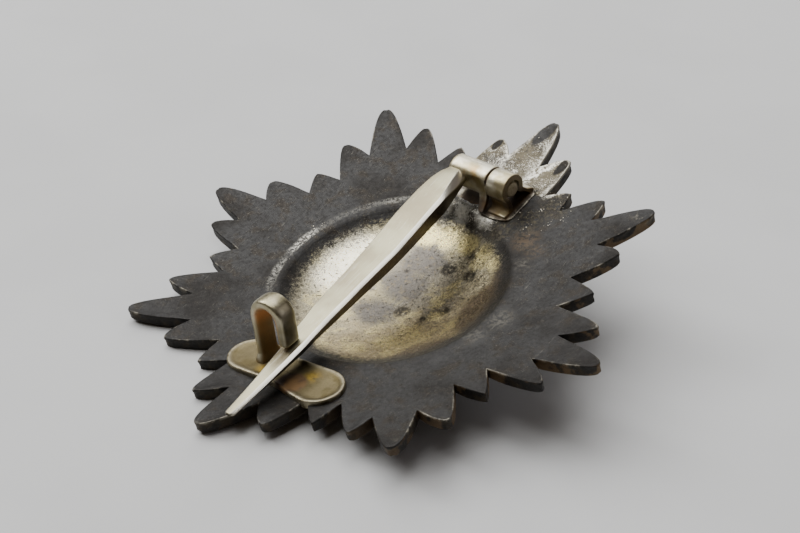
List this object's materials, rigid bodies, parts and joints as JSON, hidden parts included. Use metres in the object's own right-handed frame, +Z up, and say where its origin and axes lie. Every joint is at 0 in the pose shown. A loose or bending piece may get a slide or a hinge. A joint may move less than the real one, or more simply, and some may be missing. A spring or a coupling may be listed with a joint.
{
  "type": "award badge",
  "caption": "Star-shaped award badge with a domed middle, worn on the chest; its back carries a flat hinged pin blade held under a bent strip catch.",
  "frame": {"origin": "middle of the bounding box in plan, on the plane that the badge rests on face down", "axes": "+Z up with the badge's back on top, leant by about thirteen degrees; the camera side is -Y; +X is to the right"},
  "size_m": [0.0496, 0.0496, 0.0127],
  "materials": {
    "tarnished_silver": "dull tarnished silver with brown and olive stains",
    "bright_silver": "rubbed bright silver with fine lengthwise scratches",
    "gilt_silver": "silver with worn yellow gilding and brown stains"
  },
  "bodies": {
    "badge": {"star_plate": "tarnished_silver", "hinge_bracket": "gilt_silver", "hinge_rivet": "gilt_silver", "catch": "gilt_silver"},
    "pin": {"pin_blade": "bright_silver"}
  },
  "joints": [
    {"name": "pin_swing", "type": "hinge", "parent": "badge", "child": "pin", "pos_m": [0.01034, 0.00769, 0.01069], "axis": [0.6971, -0.7113, 0.0895], "range_deg": [0, 0.8], "stiffness_Nm_per_rad": 0.05, "springref_deg": -2.86}
  ]
}
